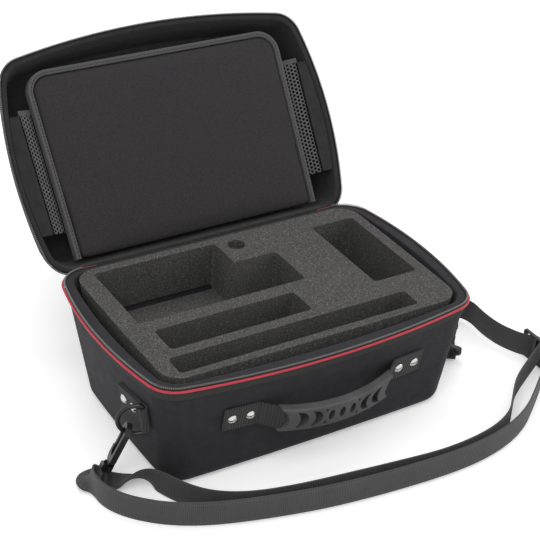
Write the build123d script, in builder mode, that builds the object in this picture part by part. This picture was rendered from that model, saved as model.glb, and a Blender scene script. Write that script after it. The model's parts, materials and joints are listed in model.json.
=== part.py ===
"""Hard-shell carrying case for a handheld games console, open, with its shoulder strap on the floor.

Millimetres, +Z up, origin at the middle of the flat bottom. X runs along the case, and the handle
is on the -Y side. The lid is modelled open, on a plane that is turned about the hinge line, so a lid
height is the height above that line when the case is shut.
"""

import os
from math import cos, radians, sin, tan

from build123d import *

# Base: a tray with straight sides at the bottom and bowed ones at the rim
bottom_half_length = 148.5
bottom_half_depth = 86.0
bottom_corner = 24.0
bottom_bow = 1.0
bottom_round = 12.0
rim_half_length = 171.0
rim_front = 108.0
rim_back = 110.5
rim_corner = 26.0
rim_side_bow = 14.0
rim_front_bow = 16.0
rim_height = 113.0
wall = 5.5
floor_thickness = 4.0
inner_bow_share = 0.62
lip_round = 1.6

# Zip: tape outside the wall, red piping on the tape, teeth on its edge
soft_gap = 0.25
tape_thickness = 1.0
tape_depth = 12.0
tape_bottom = rim_height - tape_depth
piping_diameter = 1.9
piping_drop = 1.8
piping_height = rim_height - piping_drop
piping_round = 0.8
teeth_height = 1.9
teeth_width = 2.2
zip_gap = 0.2
zip_end = 122.0

# Hinge and lid
lid_open = 126.0
hinge_behind = 2.0
hinge_y = rim_back + hinge_behind
hinge_drop = 6.5
hinge_height = rim_height - hinge_drop
lid_depth = 38.0
lid_wall = 5.0
lid_taper = 11.0
lid_round = 11.0
strip_half_length = 117.0
strip_thickness = 1.0
strip_reach = 11.0

# Pocket panel in the lid, measured from the hinge line
panel_margin = 34.0
panel_narrowing = 5.0
panel_half_top = rim_half_length - panel_margin
panel_half_bottom = panel_half_top - panel_narrowing
panel_start = 14.0
panel_end = 195.0
panel_corner = 22.0
panel_foot = 6.0
panel_edge = 2.5
panel_thickness = 8.0
panel_recess = 3.5
binding_width = 5.5
binding_extra = 0.5
binding_edge = 1.1
mesh_thickness = 1.2
mesh_start = 42.0
mesh_end = 156.0
mesh_spread = 14.0
mesh_rise = 8.4
mesh_hem = 5.0

# Foam block and its pockets
foam_rise = 2.5
foam_top = rim_height + foam_rise
foam_margin = 20.0
foam_half_length = rim_half_length - foam_margin
foam_front = 86.5
foam_back = 103.0
foam_corner = 20.0
foam_gap = 0.5
pocket_floor = 30.0
pocket_corner = 4.0
dock_margin = 18.0
dock_width = 171.0
dock_left = dock_margin - foam_half_length
dock_right = dock_left + dock_width
dock_front = 3.0
dock_back = 56.0
cable_bay_width = 126.0
cable_bay_right = dock_left + cable_bay_width
cable_bay_back = 94.0
cable_bay_floor = 66.0
cable_hole_beyond = 18.0
cable_hole_x = cable_bay_right + cable_hole_beyond
cable_hole_y = 84.0
cable_hole_diameter = 17.0
cable_hole_floor = 60.0
grip_bay_margin = 25.0
grip_bay_width = 142.0
grip_bay_left = grip_bay_margin - foam_half_length
grip_bay_right = grip_bay_left + grip_bay_width
grip_bay_front = -44.0
grip_bay_back = -12.0
console_margin = 16.0
console_width = 243.0
console_left = console_margin - foam_half_length
console_right = console_left + console_width
console_front = -78.0
console_back = -55.0
controller_margin = 11.0
controller_width = 47.0
controller_right = foam_half_length - controller_margin
controller_left = controller_right - controller_width
controller_front = -30.0
controller_back = 80.0

# Webbing and rivets
webbing_width = 25.0
webbing_thickness = 1.8
rivet_diameter = 9.0
rivet_dome = 2.2
rivet_shank = 4.0
rivet_tail_diameter = 8.0
rivet_tail = 1.6
rivet_clearance = 0.2
rivet_seat = 0.05

# Carrying handle on the front wall
handle_height = 67.0
pad_inner = 70.0
pad_outer = 102.0
pad_gap = 0.8
handle_rivet_near = 77.0
handle_rivet_far = 94.5
grip_half_length = 57.0
grip_start = 54.0
grip_thickness = 8.5
grip_end_height = 26.5
grip_mid_height = 24.5
grip_lift = 13.0
grip_bow = 9.5
grip_notch = 7.0
grip_pocket = 47.5
grip_slot_gap = 0.4
grip_edge = 1.5
oval_width = 5.6
oval_height = 12.5
oval_pitch = 11.0
notch_place = 16.4
notch_size = 3.5
notch_lift = 7.2
outer_crescent = (44.0, 40.2, 32.5, 9.2)
inner_crescent = (30.0, 26.4, 19.4, 8.8)

# Side tabs, rings and snap hooks; the angle is how far each ring swings back from straight out
tab_height = 70.5
tab_rear = -26.0
tab_bar = -66.0
tab_rivet_near = -48.0
tab_rivet_far = -33.0
ring_wire = 4.0
ring_bar_length = 31.0
ring_leg = 7.0
ring_gap = 0.3
ring_bend = 3.0
left_swing = 30.0
right_swing = 60.0
left_lean = 23.0
right_lean = 27.0
left_turn = 40.0
right_turn = 50.0
hook_width = 16.5
hook_stock = 4.4
hook_thickness = 5.0
hook_nose = 3.8
hook_length = 36.0
hook_tip = 6.0
gate_end = 26.0
gate_gap = 0.4
gate_pin = 2.0
gate_thickness = 3.6
gate_pivot = 3.0
gate_ear = 6.0
stem_diameter = 4.4
collar_diameter = 10.0
collar_length = 6.6
stem_head = 6.6
stem_head_length = 1.5
collar_gap = 0.3
eye_wire = 3.6
eye_bar = 57.0
eye_window = 10.0
eye_neck = 6.0
eye_shoulder = 6.0
eye_corner = 4.5
eye_seat = 0.3
eye_half_width = 14.0

# Shoulder strap; it stands on edge, held off the floor by the rail of the adjuster
strap_thickness = 1.6
glide_rail = 1.9
glide_thickness = 3.0
glide_bar = 4.0
glide_pitch = 15.0
glide_bottom = 0.15
glide_gap = 0.2
glide_loop = 3.6
glide_x = 265.0
glide_y = -74.0
loop_radius = 5.4
route_share = 0.45
threading_radius = 3.5
tail_length = 32.0
tail_flat = 6.0
sewn_turn = 300.0
sewn_join = 45.0
flat_lean = 90.0
tail_twist = ((1 / 3, 68.0), (2 / 3, 38.0))
eye_before = 13.0
eye_after = 6.0
eye_beyond = 11.0
first_run = 15.0
last_run = 8.5

# Zip sliders on the ends of the lid's zip, with hanging pulls
slider_length = 9.0
slider_plate = 1.3
slider_gap = 0.3
slider_reach = 2.2
slider_post = 2.7
pull_length = 24.0
pull_width = 7.0
pull_thickness = 1.6
pull_knuckle = 3.4
pull_pin = 1.4
pull_gap = 0.25

os.makedirs("parts", exist_ok=True)


def blend(start, end, share):
    """The value that far of the way from start to end."""
    return start + (end - start) * share


def outline(half_length, front, back, corner, side_bow, front_bow):
    """A rounded outline: bowed front and sides, and a straight back."""
    side = half_length - side_bow
    middle = (back - front + front_bow) / 2
    corners = [(-side, front_bow - front), (side, front_bow - front), (side, back), (-side, back)]
    with BuildSketch() as shape:
        with BuildLine():
            ThreePointArc(corners[0], (0, -front), corners[1])
            ThreePointArc(corners[1], (half_length, middle), corners[2])
            Line(corners[2], corners[3])
            ThreePointArc(corners[3], (-half_length, middle), corners[0])
        make_face()
        fillet(shape.vertices(), corner)
    return shape.sketch


def base_outline(height, grow):
    """The outside of the base at a height, grown outwards."""
    share = height / rim_height
    return outline(
        blend(bottom_half_length, rim_half_length, share) + grow,
        blend(bottom_half_depth, rim_front, share) + grow,
        blend(bottom_half_depth, rim_back, share) + grow,
        blend(bottom_corner, rim_corner, share) + grow,
        blend(bottom_bow, rim_side_bow, share),
        blend(bottom_bow, rim_front_bow, share),
    )


def mouth_outline(grow):
    """The inside of the rim, which bows less than the outside, so the lip is widest in its middle."""
    return outline(
        rim_half_length - rim_side_bow * (1 - inner_bow_share) + grow,
        rim_front - rim_front_bow * (1 - inner_bow_share) + grow,
        rim_back + grow,
        rim_corner + grow,
        rim_side_bow * inner_bow_share,
        rim_front_bow * inner_bow_share,
    )


def lid_outline(depth, grow):
    """The outside of the lid at a depth above its rim, grown outwards, from the hinge line."""
    share = depth / lid_depth
    return outline(
        rim_half_length - lid_taper * share + grow,
        rim_front - lid_taper * share + hinge_y + grow,
        rim_back - lid_taper * share - hinge_y + grow,
        rim_corner + grow,
        blend(rim_side_bow, rim_side_bow * inner_bow_share, share),
        blend(rim_front_bow, rim_front_bow * inner_bow_share, share),
    )


def finish(name, builder):
    """Labels a finished piece and writes it."""
    builder.part.label = name
    export_step(builder.part, f"parts/{name}.step")


# Heights on the lid, above the hinge line, with the case shut
teeth_bottom = rim_height + zip_gap
teeth_top = teeth_bottom + teeth_height
lid_teeth_bottom = teeth_top + zip_gap - hinge_height
lid_teeth_top = lid_teeth_bottom + teeth_height
lid_rim = lid_teeth_top + zip_gap
lid_tape_top = lid_rim + piping_height - tape_bottom
lid_floor = lid_rim + lid_depth - lid_wall
panel_front = lid_rim + panel_recess
panel_rear = panel_front + panel_thickness
open_turn = radians(lid_open)
lid_plane = Plane(
    origin=(0, hinge_y, hinge_height), x_dir=(1, 0, 0), z_dir=(0, sin(open_turn), cos(open_turn))
)


def front_wall(x, height):
    """The front wall's place at a length and height."""
    share = height / rim_height
    bow = blend(bottom_bow, rim_front_bow, share)
    front = blend(bottom_half_depth, rim_front, share)
    half = blend(bottom_half_length, rim_half_length - rim_side_bow, share)
    return Vector(x, bow * (x / half) ** 2 - front, height)


def side_wall(side, y, height):
    """The left (-1) or right (+1) wall's place at a depth and height."""
    share = height / rim_height
    bow = blend(bottom_bow, rim_side_bow, share)
    out = blend(bottom_half_length, rim_half_length, share)
    back = blend(bottom_half_depth, rim_back, share)
    front = blend(bottom_half_depth, rim_front - rim_front_bow, share)
    middle = (back - front) / 2
    return Vector(side * (out - bow * ((y - middle) / ((back + front) / 2)) ** 2), y, height)


# Planes on the walls: X along the wall, Y up it, Z out of it
wall_step = 5.0
front_up = front_wall(0, handle_height + wall_step) - front_wall(0, handle_height)
handle_plane = Plane(
    origin=front_wall(0, handle_height), x_dir=(1, 0, 0), z_dir=Vector(1, 0, 0).cross(front_up)
)
tab_middle = (tab_rear + tab_bar) / 2


def tab_plane(side):
    """The plane of a side tab: X towards the front on the left wall and the back on the right."""
    centre = side_wall(side, tab_middle, tab_height)
    up = side_wall(side, tab_middle, tab_height + wall_step) - centre
    along = (side_wall(side, tab_middle + wall_step, tab_height) - centre) * side
    return Plane(origin=centre, x_dir=along, z_dir=along.cross(up))


def tab_along(side, y):
    """A depth on a side wall as a distance along its tab's plane."""
    return side * (y - tab_middle)


# Rivets through the pads of the handle
def handle_spots():
    """Planes at the handle's rivets, on the outer face of its webbing pads."""
    spots = []
    for x in (-handle_rivet_far, -handle_rivet_near, handle_rivet_near, handle_rivet_far):
        drop = handle_plane.to_local_coords(front_wall(x, handle_height)).Z
        lean = 2 * drop / x
        out = Vector(-lean, 0, 1)
        origin = Vector(x, 0, drop + pad_gap + webbing_thickness)
        spots.append(
            Plane(
                origin=handle_plane.from_local_coords(origin),
                x_dir=handle_plane.y_dir,
                z_dir=handle_plane.from_local_coords(origin + out) - handle_plane.from_local_coords(origin),
            )
        )
    return spots


def tab_spots(side):
    """Planes at the rivets of a side tab, on its outer face."""
    plane = tab_plane(side)
    height = soft_gap + 2 * webbing_thickness
    places = [Vector(tab_along(side, y), 0, height) for y in (tab_rivet_near, tab_rivet_far)]
    return [Plane(plane.from_local_coords(p), x_dir=plane.y_dir, z_dir=plane.z_dir) for p in places]


handle_grip_depth = pad_gap + webbing_thickness + wall
tab_grip_depth = soft_gap + 2 * webbing_thickness + wall
bore = rivet_shank / 2 + rivet_clearance

with BuildPart() as base_shell:
    with BuildSketch():
        add(base_outline(0, 0))
    with BuildSketch(Plane.XY.offset(rim_height)):
        add(base_outline(rim_height, 0))
    loft(ruled=True)
    fillet(base_shell.faces().sort_by(Axis.Z)[0].edges(), bottom_round)
    with BuildSketch(Plane.XY.offset(floor_thickness)):
        add(base_outline(floor_thickness, -wall))
    with BuildSketch(Plane.XY.offset(rim_height)):
        add(mouth_outline(-wall))
    loft(ruled=True, mode=Mode.SUBTRACT)
    fillet(base_shell.faces().sort_by(Axis.Z)[-1].edges(), lip_round)
    for spots, depth in ((handle_spots(), handle_grip_depth), (tab_spots(-1) + tab_spots(1), tab_grip_depth)):
        for spot in spots:
            with BuildSketch(spot):
                Circle(bore)
            extrude(amount=-depth - wall, mode=Mode.SUBTRACT)
            with BuildSketch(spot.offset(-depth)):
                Circle(rivet_tail_diameter / 2 + rivet_clearance)
            extrude(amount=-2 * wall, mode=Mode.SUBTRACT)
finish("base_shell", base_shell)


def rim_ring(grow, width, shift):
    """A flat ring round the rim, open where the hinge strip is, with its middle that far outside the wall."""
    with BuildSketch() as ring:
        for edge, mode in ((grow + width / 2, Mode.ADD), (grow - width / 2, Mode.SUBTRACT)):
            add(
                outline(
                    rim_half_length + edge,
                    rim_front + shift + edge,
                    rim_back - shift + edge,
                    rim_corner + edge,
                    rim_side_bow,
                    rim_front_bow,
                ),
                mode=mode,
            )
        add(back_middle(shift), mode=Mode.SUBTRACT)
    return ring.sketch


def back_middle(shift):
    """The stretch of the back that the hinge strip takes."""
    with BuildSketch() as gap:
        with Locations((0, rim_back - shift)):
            Rectangle(2 * zip_end, rim_corner)
    return gap.sketch


with BuildPart() as base_zip_tape:
    with BuildSketch(Plane.XY.offset(tape_bottom)):
        add(base_outline(tape_bottom, soft_gap + tape_thickness))
    with BuildSketch(Plane.XY.offset(rim_height)):
        add(base_outline(rim_height, soft_gap + tape_thickness))
    loft(ruled=True)
    with BuildSketch(Plane.XY.offset(tape_bottom)):
        add(base_outline(tape_bottom, soft_gap))
    with BuildSketch(Plane.XY.offset(rim_height)):
        add(base_outline(rim_height, soft_gap))
    loft(ruled=True, mode=Mode.SUBTRACT)
    with BuildSketch(Plane.XY.offset(tape_bottom)):
        add(back_middle(0))
    extrude(amount=rim_height - tape_bottom, mode=Mode.SUBTRACT)
finish("base_zip_tape", base_zip_tape)

with BuildPart() as piping:
    with BuildSketch(Plane.XY.offset(piping_height - piping_diameter / 2)):
        add(rim_ring(soft_gap + tape_thickness + piping_diameter / 2, piping_diameter, 0))
    extrude(amount=piping_diameter)
    long_edges = piping.edges().filter_by(Plane.XY)
    fillet(long_edges.filter_by(lambda edge: edge.length > rim_corner), piping_round)
finish("red_piping", piping)

with BuildPart() as base_zip_teeth:
    with BuildSketch(Plane.XY.offset(teeth_bottom)):
        add(rim_ring(soft_gap + tape_thickness / 2, teeth_width, 0))
    extrude(amount=teeth_height)
finish("base_zip_teeth", base_zip_teeth)

with BuildPart() as lid_shell:
    with BuildSketch(lid_plane.offset(lid_rim)):
        add(lid_outline(0, 0))
    with BuildSketch(lid_plane.offset(lid_rim + lid_depth)):
        add(lid_outline(lid_depth, 0))
    loft(ruled=True)
    top = lid_shell.faces().sort_by(Axis(lid_plane.origin, lid_plane.z_dir))[-1]
    fillet(top.edges(), lid_round)
    with BuildSketch(lid_plane.offset(lid_rim)):
        add(lid_outline(0, -lid_wall))
    with BuildSketch(lid_plane.offset(lid_floor)):
        add(lid_outline(lid_depth - lid_wall, -lid_wall))
    loft(ruled=True, mode=Mode.SUBTRACT)
    rim = lid_shell.faces().sort_by(Axis(lid_plane.origin, lid_plane.z_dir))[0]
    fillet(rim.edges(), lip_round)
finish("lid_shell", lid_shell)

with BuildPart() as lid_zip_tape:
    for depth in (0, lid_tape_top - lid_rim):
        with BuildSketch(lid_plane.offset(lid_rim + depth)):
            add(lid_outline(depth, soft_gap + tape_thickness))
    loft(ruled=True)
    with BuildSketch(lid_plane.offset(lid_rim)):
        add(lid_outline(0, soft_gap))
    with BuildSketch(lid_plane.offset(lid_tape_top)):
        add(lid_outline(lid_tape_top - lid_rim, soft_gap))
    loft(ruled=True, mode=Mode.SUBTRACT)
    with BuildSketch(lid_plane.offset(lid_rim)):
        add(back_middle(hinge_y))
    extrude(amount=lid_tape_top - lid_rim, mode=Mode.SUBTRACT)
finish("lid_zip_tape", lid_zip_tape)

with BuildPart() as lid_zip_teeth:
    with BuildSketch(lid_plane.offset(lid_teeth_bottom)):
        add(rim_ring(soft_gap + tape_thickness / 2, teeth_width, hinge_y))
    extrude(amount=teeth_height)
finish("lid_zip_teeth", lid_zip_teeth)


# Hinge: a cloth strip from the base's back wall over the hinge line to the lid's back wall
def back_wall(height):
    """How far back the base's outside is at a height."""
    return blend(bottom_half_depth, rim_back, height / rim_height)


def lid_back(depth):
    """A place on the outside of the lid's back wall, that far above its rim."""
    y = rim_back - lid_taper * depth / lid_depth - hinge_y
    return Vector(0, y, lid_rim + depth)


strip_off = soft_gap + strip_thickness / 2
strip_points = [
    Vector(0, back_wall(hinge_height - 2 * strip_reach) + strip_off, hinge_height - 2 * strip_reach),
    Vector(0, back_wall(hinge_height - strip_reach / 2) + strip_off, hinge_height - strip_reach / 2),
    Vector(0, hinge_y, hinge_height + strip_thickness),
    lid_plane.from_local_coords(lid_back(0) + Vector(0, strip_off, 0)),
    lid_plane.from_local_coords(lid_back(2 * strip_reach) + Vector(0, strip_off, 0)),
]
with BuildPart() as hinge_strip:
    with BuildSketch(Plane.YZ):
        with BuildLine():
            strip_line = FilletPolyline(*[(p.Y, p.Z) for p in strip_points], radius=strip_thickness)
            offset(strip_line, amount=strip_thickness / 2, side=Side.BOTH)
        make_face()
    extrude(amount=strip_half_length, both=True)
finish("hinge_strip", hinge_strip)


# Pocket panel: a padded board in a bound edge, with a mesh gusset at each side
def panel_outline(inset, foot):
    """The panel, narrower at the hinge, with its upper corners rounded. Its foot has an inset of its own."""
    with BuildSketch() as shape:
        with BuildLine():
            Polyline(
                (-panel_half_bottom + inset, -panel_start - foot),
                (panel_half_bottom - inset, -panel_start - foot),
                (panel_half_top - inset, -panel_end + inset),
                (-panel_half_top + inset, -panel_end + inset),
                close=True,
            )
        make_face()
        fillet(shape.vertices().group_by(Axis.Y)[0], panel_corner - inset)
    return shape.sketch


with BuildPart() as pocket_panel:
    with BuildSketch(lid_plane.offset(panel_front)) as panel_face:
        add(panel_outline(binding_width + soft_gap, 0))
        fillet(panel_face.vertices().group_by(Axis.Y)[-1], panel_foot)
    extrude(amount=panel_thickness)
    faces_across = pocket_panel.faces().filter_by(lid_plane)
    fillet(faces_across.edges(), panel_edge)
finish("pocket_panel", pocket_panel)

with BuildPart() as panel_binding:
    with BuildSketch(lid_plane.offset(panel_front - binding_extra)):
        add(panel_outline(0, 0))
        add(panel_outline(binding_width, -2 * panel_foot), mode=Mode.SUBTRACT)
    extrude(amount=panel_thickness + 2 * binding_extra)
    fillet(panel_binding.faces().filter_by(lid_plane).edges(), binding_edge)
finish("panel_binding", panel_binding)

def panel_half(distance):
    """Half the bound panel's width, at a distance from the hinge line."""
    return blend(panel_half_bottom, panel_half_top, (distance - panel_start) / (panel_end - panel_start))


gusset_rear = panel_rear - mesh_thickness
gusset_seam = soft_gap + mesh_thickness / 2
strip_seam = gusset_seam + mesh_spread + mesh_thickness / 2 + soft_gap
strip_front = gusset_rear - mesh_rise - mesh_thickness / 2
for side, name in ((-1, "left"), (1, "right")):
    gusset_line = [(0, gusset_rear), (side * mesh_spread, gusset_rear - mesh_rise)]
    panel_lean = lid_plane.x_dir * side * (panel_half(mesh_end) - panel_half(mesh_start))
    cross = Plane(
        lid_plane.from_local_coords(Vector(side * (panel_half(mesh_start) + gusset_seam), -mesh_start, 0)),
        x_dir=lid_plane.x_dir,
        z_dir=panel_lean - lid_plane.y_dir * (mesh_end - mesh_start),
    )
    with BuildPart() as mesh_gusset:
        with BuildSketch(cross):
            with BuildLine():
                gusset = Line(gusset_line)
                offset(gusset, amount=mesh_thickness / 2, side=Side.BOTH)
            make_face()
        extrude(amount=mesh_end - mesh_start)
    finish(f"mesh_gusset_{name}", mesh_gusset)
    with BuildPart() as gusset_hem:
        with BuildSketch(cross.offset(mesh_end - mesh_start + zip_gap)):
            with BuildLine():
                gusset = Line(gusset_line)
                offset(gusset, amount=mesh_thickness / 2, side=Side.BOTH)
            make_face()
        extrude(amount=mesh_hem)
    finish(f"gusset_hem_{name}", gusset_hem)
    with BuildPart() as lining_strip:
        with BuildSketch(lid_plane.offset(strip_front)):
            add(lid_outline(strip_front + mesh_thickness - lid_rim, -lid_wall - soft_gap))
            with BuildLine():
                Polyline(
                    (side * (panel_half(mesh_start) + strip_seam), -mesh_start),
                    (side * rim_half_length, -mesh_start),
                    (side * rim_half_length, -mesh_end),
                    (side * (panel_half(mesh_end) + strip_seam), -mesh_end),
                    close=True,
                )
            make_face(mode=Mode.INTERSECT)
        extrude(amount=mesh_thickness)
    finish(f"lining_strip_{name}", lining_strip)

# Foam block, cut with a pocket for each thing that the case carries
with BuildPart() as foam_insert:
    with BuildSketch(Plane.XY.offset(floor_thickness + foam_gap)):
        add(base_outline(floor_thickness, -wall - 2 * foam_gap))
    with BuildSketch(Plane.XY.offset(foam_top)):
        add(outline(foam_half_length, foam_front, foam_back, foam_corner, bottom_bow, bottom_bow))
    loft(ruled=True)
    with BuildSketch(Plane.XY.offset(foam_top)) as pockets:
        for left, right, front, back in (
            (dock_left, dock_right, dock_front, dock_back),
            (grip_bay_left, grip_bay_right, grip_bay_front, grip_bay_back),
            (console_left, console_right, console_front, console_back),
            (controller_left, controller_right, controller_front, controller_back),
        ):
            with Locations(((left + right) / 2, (front + back) / 2)):
                Rectangle(right - left, back - front)
        fillet(pockets.vertices(), pocket_corner)
    extrude(amount=pocket_floor - foam_top, mode=Mode.SUBTRACT)
    with BuildSketch(Plane.XY.offset(foam_top)) as cable_bay:
        with Locations(((dock_left + cable_bay_right) / 2, (dock_front + cable_bay_back) / 2)):
            Rectangle(cable_bay_right - dock_left, cable_bay_back - dock_front)
        fillet(cable_bay.vertices(), pocket_corner)
    extrude(amount=cable_bay_floor - foam_top, mode=Mode.SUBTRACT)
    with BuildSketch(Plane.XY.offset(foam_top)):
        with Locations((cable_hole_x, cable_hole_y)):
            Circle(cable_hole_diameter / 2)
    extrude(amount=cable_hole_floor - foam_top, mode=Mode.SUBTRACT)
finish("foam_insert", foam_insert)


# Rivets: a domed head outside, a shank through webbing and wall, and a flat tail inside
def rivets(spots, grip):
    """A rivet at each of these planes, as separate solids."""
    dome_radius = (rivet_diameter**2 / 4 + rivet_dome**2) / (2 * rivet_dome)
    with BuildPart() as rivet:
        with BuildSketch(Plane.XZ):
            with BuildLine():
                dome = RadiusArc((rivet_diameter / 2, rivet_seat), (0, rivet_seat + rivet_dome), -dome_radius)
                Polyline(
                    dome @ 1,
                    (0, -grip - rivet_tail),
                    (rivet_tail_diameter / 2, -grip - rivet_tail),
                    (rivet_tail_diameter / 2, -grip),
                    (rivet_shank / 2, -grip),
                    (rivet_shank / 2, rivet_seat),
                    dome @ 0,
                )
            make_face()
        revolve(axis=Axis.Z)
    with BuildPart() as group:
        with Locations(*spots):
            add(rivet.part)
    return group


handle_rivets = rivets(handle_spots(), handle_grip_depth + rivet_clearance)
finish("handle_rivets", handle_rivets)
tab_rivets = rivets(tab_spots(-1) + tab_spots(1), tab_grip_depth + rivet_clearance)
finish("tab_rivets", tab_rivets)


# Carrying handle: riveted webbing whose ends are moulded into a bowed rubber grip
def handle_drop(x):
    """How far the front wall falls back from the handle's plane at a length."""
    return handle_plane.to_local_coords(front_wall(x, handle_height)).Z


handle_section = Plane(handle_plane.origin, x_dir=handle_plane.x_dir, z_dir=-handle_plane.y_dir)
grip_radius = (grip_start**2 + grip_bow**2) / (2 * grip_bow)
grip_centre = grip_lift + grip_bow - grip_radius


def web_profile(grow, inner_end):
    """The handle's webbing in section: a pad on the wall at each side, rising into an end of the grip."""
    lift = pad_gap + webbing_thickness / 2
    pad_stops = (pad_outer, (pad_outer + pad_inner) / 2, pad_inner)
    with BuildSketch() as profile:
        with BuildLine() as path:
            bow = ThreePointArc((-grip_start, grip_lift), (0, grip_lift + grip_bow), (grip_start, grip_lift))
            for side in (-1, 1):
                Polyline(*[(side * x, handle_drop(x) + lift) for x in pad_stops], bow @ ((1 + side) / 2))
            offset(path.wires()[0], amount=webbing_thickness / 2 + grow, side=Side.BOTH)
        make_face()
        with Locations((0, grip_lift + grip_bow)):
            Rectangle(2 * inner_end, 2 * grip_bow, mode=Mode.SUBTRACT)
    return profile.sketch


with BuildPart() as handle_webbing:
    with BuildSketch(handle_section):
        add(web_profile(0, grip_pocket))
    extrude(amount=webbing_width / 2, both=True)
    for spot in handle_spots():
        with BuildSketch(spot):
            Circle(bore)
        extrude(amount=wall, both=True, mode=Mode.SUBTRACT)
finish("handle_webbing", handle_webbing)

with BuildPart() as handle_grip:
    with BuildSketch(handle_section):
        with Locations((0, grip_centre)):
            Circle(grip_radius + grip_thickness / 2)
            Circle(grip_radius - grip_thickness / 2, mode=Mode.SUBTRACT)
    extrude(amount=grip_end_height / 2, both=True)
    with BuildSketch(handle_plane):
        with BuildLine():
            tail = grip_end_height / 2
            top = ThreePointArc((-grip_half_length, tail), (0, grip_mid_height / 2), (grip_half_length, tail))
            right = ThreePointArc(top @ 1, (grip_half_length - grip_notch, 0), (grip_half_length, -tail))
            foot = ThreePointArc(right @ 1, (0, -grip_mid_height / 2), (-grip_half_length, -tail))
            ThreePointArc(foot @ 1, (grip_notch - grip_half_length, 0), top @ 0)
        make_face()
    extrude(amount=grip_lift + grip_bow + grip_thickness, mode=Mode.INTERSECT)
    long_edges = handle_grip.edges().filter_by(lambda edge: edge.length > grip_half_length)
    fillet(long_edges, grip_edge)
    with BuildSketch(handle_section):
        add(web_profile(grip_slot_gap, grip_pocket - grip_slot_gap))
    extrude(amount=webbing_width / 2 + grip_slot_gap, both=True, mode=Mode.SUBTRACT)
    with BuildSketch(handle_plane):
        for x in (-oval_pitch, 0, oval_pitch):
            with Locations((x, 0)):
                Ellipse(oval_width / 2, oval_height / 2)
        for side in (-1, 1):
            for tip, hollow, belly, reach in (outer_crescent, inner_crescent):
                with BuildLine():
                    ThreePointArc((side * tip, reach), (side * belly, 0), (side * tip, -reach))
                    ThreePointArc((side * tip, -reach), (side * hollow, 0), (side * tip, reach))
                make_face()
            for up in (-1, 1):
                with BuildLine():
                    Polyline(
                        (side * (notch_place - notch_size / 2), up * (notch_lift + notch_size / 2)),
                        (side * (notch_place + notch_size / 2), up * (notch_lift + notch_size / 2)),
                        (side * notch_place, up * (notch_lift - notch_size / 2)),
                        close=True,
                    )
                make_face()
    extrude(amount=grip_lift + grip_bow + grip_thickness, mode=Mode.SUBTRACT)
finish("handle_grip", handle_grip)

# Side tabs: webbing doubled over the bar of a ring and riveted to the wall
loop_outer = ring_wire / 2 + ring_gap + webbing_thickness
ring_lift = soft_gap + loop_outer
half_bar = ring_bar_length / 2


def ring_plane(side, swing):
    """The plane of a ring, at the middle of its bar: X out along the ring, Y up the bar."""
    face = tab_plane(side)
    turn = radians(swing)
    out = face.z_dir * cos(turn) + face.x_dir * side * sin(turn)
    centre = face.from_local_coords(Vector(tab_along(side, tab_bar), 0, ring_lift))
    return Plane(centre, x_dir=out, z_dir=out.cross(face.y_dir))


def hook_plane(side, swing, lean, around):
    """The plane of a snap hook, where it hangs on its ring: X across the hook, Y down it."""
    ring = ring_plane(side, swing)
    level = Vector(ring.x_dir.X, ring.x_dir.Y, 0).normalized()
    facing = level * cos(radians(lean)) + Vector(0, 0, sin(radians(lean)))
    turn = radians(around)
    hang = ring.from_local_coords(Vector(ring_leg + half_bar * sin(turn), -half_bar * cos(turn), 0))
    return Plane(hang, x_dir=level.cross(Vector(0, 0, 1)), z_dir=facing)


gate_middle = hook_width / 2 - hook_stock / 2
hook_slot = hook_width - 2 * hook_stock
gate_hinge = gate_end - gate_pivot
gate_width = hook_stock - 2 * gate_gap
eye_top = eye_bar - eye_wire / 2 - eye_window - eye_wire
head_top = eye_top + eye_wire + collar_gap

left_hook = hook_plane(-1, left_swing, left_lean, left_turn)
right_hook = hook_plane(1, right_swing, right_lean, right_turn)

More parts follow.
